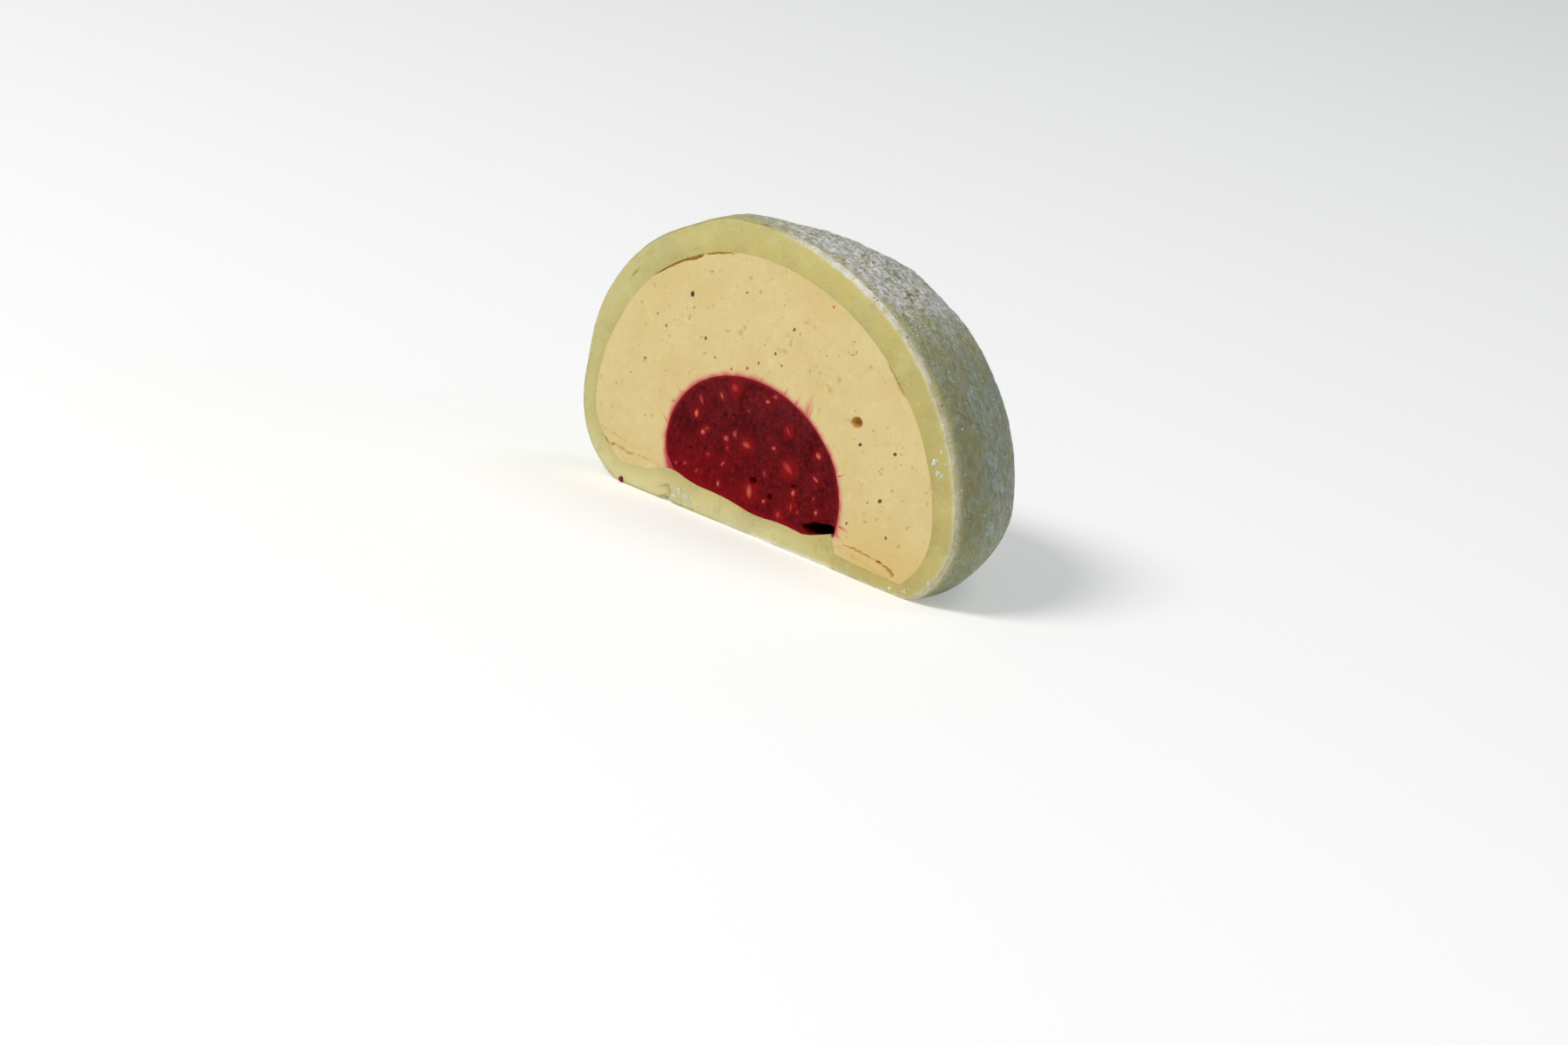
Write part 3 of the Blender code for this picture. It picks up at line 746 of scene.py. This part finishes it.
# Painted golden shade and light in the recesses
painted_recess_shade_share = value_of(tree, "painted_recess_shade")
colour = mix(tree, times(tree, painted_recess_shade_share, 0.8), colour, tone(204, 154, 50))
stain_share = value_of(tree, "stain")
colour = mix(tree, between(tree, stain_share, 0.0, 0.7, 0.0, 0.85), colour, tone(218, 146, 120))
colour = mix(tree, between(tree, stain_share, 0.4, 1.0), colour, tone(172, 38, 54))
tree.links.new(colour, shader.inputs["Base Color"])
tree.links.new(between(tree, fine, 0.0, 1.0, 0.5, 0.66), shader.inputs["Roughness"])
emboss(tree, shader, height, 0.0001, 0.7)
cream.data.materials.append(cream_finish)
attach(cream, "root")
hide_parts("pistachio_cream")


# Raspberry filling
# A set dome of thick raspberry jam that sits on the dough's base. The cut shows it wet and dark red,
# brighter at its edge and round the seeds, with little hollows, and a black gap over the dough at its right.
BERRY_FACE_BACK = 0.07
BERRY_MIDDLE = np.array([-0.6, CUT_Y, 9.0])
HOLLOW = ((8.0, 3.6), (9.6, 4.5), (12.55, 4.95), (12.85, 3.7), (9.9, 2.7))
HOLLOW_DEEP = 5.5
# Each void's x, z, half width, half height and depth
VOIDS = (
    (-0.5, 6.5, 0.55, 0.42, 0.9), (2.4, 5.35, 0.45, 0.4, 0.6), (5.6, 7.6, 0.5, 0.3, 0.5),
    (-6.6, 12.6, 0.45, 0.3, 0.4), (-5.4, 13.1, 0.4, 0.25, 0.35), (-7.1, 12.1, 0.3, 0.22, 0.3),
    (3.3, 4.4, 0.3, 0.22, 0.25),
)
# Each seed's x, z, length, width, tilt in degrees, and how bare the knife laid it, from 0 to 1
SEEDS = (
    (-10.7, 13.4, 1.4, 0.6, -55, 0.1), (-11.0, 11.6, 1.1, 0.75, 103, 0.5), (-9.5, 9.7, 0.85, 0.75, 20, 0.55),
    (-9.0, 10.3, 0.7, 0.5, 30, 1.0), (-7.8, 14.7, 1.1, 0.5, -50, 0.25), (-6.1, 16.2, 1.3, 0.9, -30, 1.0),
    (-5.9, 10.0, 1.0, 0.8, -40, 0.25), (-5.4, 9.0, 0.5, 0.4, 80, 1.0), (-4.7, 10.9, 0.9, 0.7, -60, 0.2),
    (-2.6, 10.2, 1.5, 0.8, -10, 0.8), (-0.9, 16.1, 0.8, 0.5, 10, 0.5), (0.1, 17.0, 0.9, 0.65, 0, 0.15),
    (1.5, 11.1, 0.7, 0.5, 0, 0.5), (4.2, 9.4, 2.1, 0.75, -28, 0.9), (8.1, 12.2, 1.1, 0.75, -35, 0.45),
    (8.5, 9.4, 1.3, 0.4, -25, 0.35), (0.9, 7.7, 0.8, 0.6, -60, 0.0), (5.7, 6.9, 0.9, 0.65, 95, 0.6),
    (5.9, 5.2, 1.2, 0.4, 100, 1.0), (9.6, 5.7, 0.75, 0.55, 100, 0.65), (-0.75, 5.0, 2.1, 1.0, -76, 0.75),
    (1.7, 4.6, 0.6, 0.5, 45, 0.4), (4.2, 3.75, 1.0, 0.75, 100, 0.9), (-5.5, 4.5, 0.85, 0.5, 100, 0.45),
    (-12.5, 4.9, 0.6, 0.45, 60, 0.15), (-11.1, 5.3, 0.6, 0.5, 40, 0.15), (-9.1, 5.0, 0.7, 0.5, 80, 0.1),
    (-5.5, 7.0, 0.95, 0.35, 60, 0.3), (8.9, 7.2, 0.6, 0.4, 70, 0.05), (3.0, 13.6, 1.3, 0.35, -40, 0.9),
    (-3.4, 14.2, 0.5, 0.35, 20, 0.1), (6.9, 4.9, 0.5, 0.4, 60, 0.1), (-8.0, 7.4, 0.6, 0.4, 15, 0.9),
)
berry = ball(1.0, 120, 24, ((0, 1, 0),))
draw_in(berry, 1.0, 0.02, 20)
bpy.ops.mesh.merge(type="CENTER")
close_up(berry, 3)
berry.name = "raspberry_filling"
berry.data.name = "raspberry_filling"
flat = points_of(berry)
face = flat[:, 1] < 1e-5
from_middle = np.where(face, np.hypot(flat[:, 0], flat[:, 2]), 1.0)
directions = unit(np.where(from_middle[:, None] > 1e-6, flat, np.array([0.0, 0.0, 1.0])))[1]
shape = press(directions, BERRY, FOOT_TURN)
drawn = BERRY_MIDDLE + (shape - BERRY_MIDDLE) * from_middle[:, None]
shape = np.where(face[:, None], drawn, shape)
x, y, z = shape.T


def inside_outline(x, z, corners):
    """How far each point lies inside a convex outline; it is negative outside."""
    depth = np.full(len(x), 1e9)
    for (ax, az), (bx, bz) in zip(corners, corners[1:] + corners[:1]):
        length = sqrt((bx - ax) ** 2 + (bz - az) ** 2)
        depth = np.minimum(depth, ((bz - az) * (x - ax) - (bx - ax) * (z - az)) / length)
    return depth


edge_in = -beyond(x, z, BERRY)
glow = np.zeros(len(x))
for seed_x, seed_z, length, width, tilt, bright in SEEDS:
    off = np.hypot(x - seed_x, z - seed_z) / (0.5 * (length + width))
    glow = np.maximum(glow, (0.3 + 0.5 * bright) * (1 - ease(off, 0.3, 1.5)))
bumps = 0.10 * waves(shape, 2.4, 2) + 0.05 * waves(shape, 0.7, 2)
push = knife_waves(shape) + BERRY_FACE_BACK + (0.08 + bumps) * ease(edge_in, 0.0, 1.2)
for void_x, void_z, half_width, half_height, deep in VOIDS:
    off = np.hypot((x - void_x) / half_width, (z - void_z) / half_height)
    push = np.maximum(push, deep * (1 - ease(off, 0.55, 1.15)))
in_hollow = ease(inside_outline(x, z, HOLLOW) + 0.06 * waves(shape, 0.8, 2), -0.1, 0.1)
push = push + in_hollow * HOLLOW_DEEP
shape[:, 1] = np.where(face, y + push, y)
put_points(berry, shape)
smooth(berry)
mark(berry, "edge", np.where(face, 1 - ease(edge_in + 0.2 * waves(shape, 0.9, 2), -0.1, 0.55), 0.6))
# The hollow's mask, which the material paints near black as shade
mark(berry, "hollow", np.where(face, in_hollow, 0.0))
mark(berry, "glow", np.where(face, glow, 0.0))
above_base = z - base_top(x, np.full(len(x), CUT_Y))
mark(berry, "foot", np.where(face, 1 - ease(above_base + 0.25 * waves(shape, 1.3, 2), 0.1, 0.75), 0.0))

berry_finish, tree, shader = finish(
    "raspberry_jam", Coat_Weight=0.04, Coat_Roughness=0.1, Specular_IOR_Level=0.03, Subsurface_Weight=0.08,
    Subsurface_Radius=(1.0, 0.15, 0.15), Subsurface_Scale=0.0008
)
place = millimetres(tree)
patches, fine, height = paste(tree, place, 0.35, 1.7)[:3]
x_at, _, z_at = apart(tree, place)
low_left = times(tree, between(tree, z_at, 11.0, 4.0), between(tree, x_at, 4.0, -8.0, 0.3, 1.0))
# The upper part is mixed towards a greyish red: a painted haze of reflected light
painted_reflection_haze = times(tree, between(tree, z_at, 9.0, 16.0, 0.1, 0.5), patches)
colour = mix(tree, patches, tone(76, 4, 9), tone(102, 9, 15))
colour = mix(tree, painted_reflection_haze, colour, tone(100, 28, 34))
colour = mix(tree, times(tree, low_left, 0.85), colour, tone(118, 1, 9))
colour = mix(tree, between(tree, fine, 0.52, 0.85, 0.0, 0.6), colour, tone(132, 26, 32))
colour = mix(tree, between(tree, fine, 0.48, 0.15, 0.0, 0.75), colour, tone(54, 2, 7))
colour = mix(tree, times(tree, value_of(tree, "glow"), 0.8), colour, tone(152, 14, 20))
colour = mix(tree, times(tree, value_of(tree, "foot"), 0.5), colour, tone(150, 6, 18))
colour = mix(tree, times(tree, value_of(tree, "edge"), 0.8), colour, tone(148, 22, 34))
# The deep hollow over the dough is painted near black: painted shade inside it
colour = mix(tree, value_of(tree, "hollow"), colour, tone(10, 1, 2))
tree.links.new(colour, shader.inputs["Base Color"])
tree.links.new(between(tree, fine, 0.0, 1.0, 0.35, 0.55), shader.inputs["Roughness"])
emboss(tree, shader, height, 0.00018, 0.7)
berry.data.materials.append(berry_finish)
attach(berry, "root")
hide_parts("raspberry_core")


# Raspberry seeds
# Little pale, pointed seeds that lie in the jam. The knife laid some bare, and jam still covers the others,
# so they run from dusky pink to peach and bright red.
def strew(name, bit, places, axes, sizes):
    """One piece of many copies of a small shape, each with its place, its axes and its size along them."""
    base = points_of(bit)
    corners = [tuple(side.vertices) for side in bit.data.polygons]
    points = places[:, None, :] + np.einsum("cpk,ckj->cpj", base[None] * sizes[:, None, :], axes)
    faces = [tuple(v + i * len(base) for v in side) for i in range(len(places)) for side in corners]
    bpy.data.objects.remove(bit)
    mesh = bpy.data.meshes.new(name)
    mesh.from_pydata((points.reshape(-1, 3) * MM).tolist(), [], faces)
    piece = bpy.data.objects.new(name, mesh)
    bpy.context.scene.collection.objects.link(piece)
    mesh.polygons.foreach_set("use_smooth", [True] * len(faces))
    return piece


def mark_each(piece, name, values):
    """Stores one value for all the vertices of each copy in a strewn piece."""
    mark(piece, name, np.repeat(values, len(piece.data.vertices) // len(values)))


def to_front(count):
    """The way out of the cut face, once for each of so many copies."""
    return np.tile((0.0, -1.0, 0.0), (count, 1))


def facing_out(tilts):
    """Axes of copies that lie in the cut face, each turned in it by a tilt."""
    first = np.stack([np.cos(tilts), np.zeros(len(tilts)), np.sin(tilts)], axis=1)
    out = to_front(len(tilts))
    return np.stack([first, np.cross(out, first), out], axis=1)


def front_of(piece, x, z):
    """How far back the piece's cut face lies at x and z."""
    points = points_of(piece) / MM
    points = points[points[:, 1] < CUT_Y + 0.6]
    nearest = [np.argmin(np.hypot(points[:, 0] - a, points[:, 2] - b)) for a, b in zip(x, z)]
    return points[nearest, 1]


SEED_SUNK = 0.08
SEED_SPREAD = 0.56
SEED_HALF_THICKNESS = 0.2
x, z, length, width, tilt, bright = np.array(SEEDS).T
bpy.ops.object.select_all(action="DESELECT")
bpy.ops.mesh.primitive_uv_sphere_add(segments=20, ring_count=12, radius=1.0, rotation=(0, pi / 2, 0))
seed = bpy.context.object
bpy.ops.object.transform_apply(location=False, rotation=True, scale=False)
shape = points_of(seed)
pointed = 1 - 0.35 * ease(shape[:, 0], 0.0, 1.0)
from_axis = np.hypot(shape[:, 0], shape[:, 1])
shape[:, 1:] *= pointed[:, None]
shape *= 1 + 0.16 * waves(shape + 5.0, 0.8)[:, None]
put_points(seed, shape / MM)
places = np.stack([x, front_of(berry, x, z) + SEED_SUNK, z], axis=1)
thickness = np.full(len(x), SEED_HALF_THICKNESS)
sizes = np.stack([SEED_SPREAD * length, SEED_SPREAD * width, thickness], axis=1)
seeds = strew("raspberry_seeds", seed, places, facing_out(np.radians(tilt)), sizes)
mark_each(seeds, "bright", bright)
mark(seeds, "rim", np.tile(from_axis, len(x)))

seed_finish, tree, shader = finish(
    "raspberry_seed", Coat_Weight=0.08, Coat_Roughness=0.2, Specular_IOR_Level=0.12
)
place = millimetres(tree)
fine = paste(tree, place, 1.2, 4.0)[1]
colour = mix(tree, between(tree, value_of(tree, "bright"), 0.0, 0.5), tone(132, 52, 54), tone(218, 108, 82))
colour = mix(tree, between(tree, value_of(tree, "bright"), 0.5, 1.0), colour, tone(184, 34, 28))
colour = mix(tree, between(tree, fine, 0.6, 0.1, 0.0, 0.5), colour, tone(168, 50, 40))
colour = mix(tree, between(tree, value_of(tree, "rim"), 0.1, 0.95), colour, tone(130, 14, 20))
tree.links.new(colour, shader.inputs["Base Color"])
tree.links.new(between(tree, fine, 0.0, 1.0, 0.3, 0.5), shader.inputs["Roughness"])
emboss(tree, shader, fine, 0.00008, 0.6)
seeds.data.materials.append(seed_finish)
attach(seeds, "root")


# Nut specks
# Bits of pistachio skin milled into the cream. The large ones are purple-brown, up to three quarters of a
# millimetre across, and the fine ones are paler.
def pebble(rough, offset=0.0):
    """A little uneven ball of radius 1."""
    bpy.ops.object.select_all(action="DESELECT")
    bpy.ops.mesh.primitive_ico_sphere_add(subdivisions=2, radius=1.0)
    made = bpy.context.object
    shape = points_of(made)
    put_points(made, shape * (1 + rough * waves(shape + offset, 0.9))[:, None] / MM)
    return made


# Each speck's x, z, radius, and how pale it is, from 0 to 1
NUT_SPECKS = (
    (-15.5, 25.1, 0.38, 0.0), (13.7, 15.4, 0.28, 0.15), (18.9, 15.85, 0.28, 0.15), (18.3, 9.95, 0.32, 0.1),
    (0.6, 25.45, 0.26, 0.3), (-12.1, 20.6, 0.26, 0.3), (-18.4, 20.3, 0.22, 0.5), (-1.4, 21.9, 0.22, 0.3),
    (14.3, 5.95, 0.2, 0.4), (20.3, 6.1, 0.22, 0.35), (-20.1, 21.3, 0.18, 0.7), (-20.5, 15.6, 0.22, 0.5),
    (-13.3, 28.5, 0.17, 0.8), (16.6, 9.2, 0.16, 0.7), (-10.1, 18.8, 0.18, 0.7), (-7.5, 27.6, 0.2, 0.6),
)
FINE_SPECKS = 50
FIELD_MIDDLE = (-1.5, 8.0)
FIELD_REACH = (25.5, 22.5)
rng = np.random.default_rng(11)
scattered = np.stack([rng.uniform(-25.0, 25.0, 900), rng.uniform(3.5, 31.0, 900)], axis=1)
reach = np.hypot(*((scattered - FIELD_MIDDLE) / FIELD_REACH).T)
scattered = scattered[(reach < 0.95) & (beyond(*scattered.T, BERRY) > 1.2)][:FINE_SPECKS]
fine_size = rng.uniform(0.06, 0.13, len(scattered))
fine_pale = rng.uniform(0.7, 1.0, len(scattered))
small = np.stack([*scattered.T, fine_size, fine_pale], axis=1)
x, z, size, faint = np.concatenate([np.array(NUT_SPECKS), small]).T
places = np.stack([x, front_of(cream, x, z), z], axis=1)
sizes = np.stack([size, 0.75 * size, np.full(len(x), 0.05)], axis=1)
tilts = rng.uniform(0.0, pi, len(x))
specks = strew("nut_specks", pebble(0.22), places, facing_out(tilts), sizes)
mark_each(specks, "faint", faint)
nut_finish, tree, shader = finish("nut_skin", Roughness=0.6, Specular_IOR_Level=0.3)
fine = paste(tree, millimetres(tree), 1.0, 5.0)[1]
colour = mix(tree, value_of(tree, "faint"), tone(76, 44, 54), tone(186, 150, 104))
colour = mix(tree, between(tree, fine, 0.5, 0.0, 0.0, 0.4), colour, tone(120, 90, 60))
tree.links.new(colour, shader.inputs["Base Color"])
specks.data.materials.append(nut_finish)
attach(specks, "root")


# Starch grains
# Loose clots of the starch that the dough was rolled in. They lie on the outside, thickest on the crown and
# along the cut's right edge, and little heaps of them have dropped on the cut.
HEAP = 7
GRAINS = 2600
# Each heap's x, z and radius
STARCH_SPOTS = (
    (24.7, 16.7, 0.34), (25.4, 15.6, 0.30), (26.2, 16.9, 0.2), (26.1, 15.5, 0.24), (25.3, 18.2, 0.2),
    (-29.0, 17.5, 0.22), (-11.7, 1.0, 0.36), (-11.0, 1.7, 0.26), (-9.9, 1.3, 0.34), (-10.6, 0.6, 0.2),
    (-9.0, 0.6, 0.26), (22.5, 0.7, 0.22), (24.6, 0.9, 0.24), (27.7, 3.0, 0.22), (23.5, 0.4, 0.18),
)
corner_points = read(skin.data.loops, "vertex_index", kind=int)
first_corner = corner_points[read(skin.data.polygons, "loop_start", kind=int)]
centres = read(skin.data.polygons, "center", 3) / MM
outs = read(skin.data.polygons, "normal", 3)
areas = read(skin.data.polygons, "area")


def lying(outs, turns):
    """Axes of pieces that lie on a surface, each turned about the way out of it."""
    side = np.cross(outs, (0.31, 0.52, 0.79))
    side /= np.linalg.norm(side, axis=1)[:, None]
    across = np.cross(outs, side)
    first = side * np.cos(turns)[:, None] + across * np.sin(turns)[:, None]
    return np.stack([first, np.cross(outs, first), outs], axis=1)


def on_skin(density, count):
    """Faces drawn at random where the density is high, spread a little: their places and ways out."""
    chance = density * areas * outside[first_corner] * ease(centres[:, 2], 0.6, 2.0)
    chosen = rng.choice(len(chance), count, p=chance / chance.sum())
    jitter = rng.uniform(-0.15, 0.15, (count, 3))
    jitter -= outs[chosen] * np.sum(jitter * outs[chosen], axis=1)[:, None]
    return centres[chosen] + jitter, outs[chosen]


clumped = ease(waves(centres, 2.2, 3), -0.1, 0.6)
density = (0.05 + 1.3 * crown[first_corner] + 0.25 * shoulder[first_corner]) * clumped
density += 0.5 * rim[first_corner]
places, ways = on_skin(density, GRAINS)
size = np.clip(rng.lognormal(-2.9, 0.4, GRAINS), 0.03, 0.16)
x, z, spot_size = np.repeat(np.array(STARCH_SPOTS), HEAP, axis=0).T
x = x + rng.normal(0.0, 0.5, len(x)) * spot_size
z = z + rng.normal(0.0, 0.5, len(z)) * spot_size
spot_size = spot_size * rng.uniform(0.25, 0.7, len(x))
places = np.concatenate([places, np.stack([x, front_of(skin, x, z), z], axis=1)])
ways = np.concatenate([ways, to_front(len(x))])
size = np.concatenate([size, spot_size])
sizes = size[:, None] * rng.uniform(0.65, 1.35, (len(size), 3)) * (1.0, 1.0, 0.45)
turns = rng.uniform(0, pi, len(size))
bpy.ops.object.select_all(action="DESELECT")
bpy.ops.mesh.primitive_ico_sphere_add(subdivisions=1, radius=1.0)
grains = strew("starch_grains", bpy.context.object, places, lying(ways, turns), sizes)
starch_finish, tree, shader = finish(
    "loose_starch", Roughness=0.95, Specular_IOR_Level=0.2, Subsurface_Weight=0.2, Subsurface_Scale=0.0005
)
patches = paste(tree, millimetres(tree), 0.5, 3.0)[0]
tree.links.new(mix(tree, patches, tone(208, 210, 200), tone(234, 234, 229)), shader.inputs["Base Color"])
grains.data.materials.append(starch_finish)
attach(grains, "root")


# Raspberry crumbs
# Dry red crumbs from the filling: one stuck under the cut's left edge, a few drawn over the cream by the
# knife, and fine ones in the dust on the outside.
DUST_CRUMBS = 60
STUCK_PLACE = (-20.1, CUT_Y + 0.1, 0.42)
STUCK_SIZE = 0.4
# Each crumb's x, z and radius
FACE_CRUMBS = (
    (-0.1, 20.8, 0.2), (5.5, 29.7, 0.2), (1.6, 25.2, 0.13), (-3.5, 20.1, 0.22), (9.0, 25.3, 0.16),
    (9.6, 25.15, 0.15), (10.2, 25.6, 0.14), (-5.0, 19.0, 0.24), (-14.9, 12.0, 0.2), (-7.3, 18.2, 0.2),
)
x, z, size = np.array(FACE_CRUMBS).T
places, ways = on_skin(0.3 + crown[first_corner], DUST_CRUMBS)
places = np.concatenate([places, np.stack([x, front_of(cream, x, z), z], axis=1), [STUCK_PLACE]])
ways = np.concatenate([ways, to_front(len(x) + 1)])
size = np.concatenate([rng.uniform(0.06, 0.17, DUST_CRUMBS), size, [STUCK_SIZE]])
flatness = np.concatenate([np.full(DUST_CRUMBS, 0.6), np.full(len(x), 0.12), [1.0]])
pale = np.concatenate([np.full(DUST_CRUMBS, 0.6), np.full(len(x), 0.8), [0.0]])
sizes = np.stack([size, 0.8 * size, flatness * size], axis=1)
turns = rng.uniform(0, pi, len(size))
crumbs = strew("raspberry_crumbs", pebble(0.25, 3.0), places, lying(ways, turns), sizes)
mark_each(crumbs, "pale", pale)
crumb_finish, tree, shader = finish("dry_raspberry", Roughness=0.6, Specular_IOR_Level=0.3)
fine = paste(tree, millimetres(tree), 1.0, 4.0)[1]
colour = mix(tree, value_of(tree, "pale"), tone(122, 8, 10), tone(212, 104, 76))
colour = mix(tree, between(tree, fine, 0.5, 0.1, 0.0, 0.5), colour, tone(110, 30, 26))
tree.links.new(colour, shader.inputs["Base Color"])
crumbs.data.materials.append(crumb_finish)
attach(crumbs, "root")
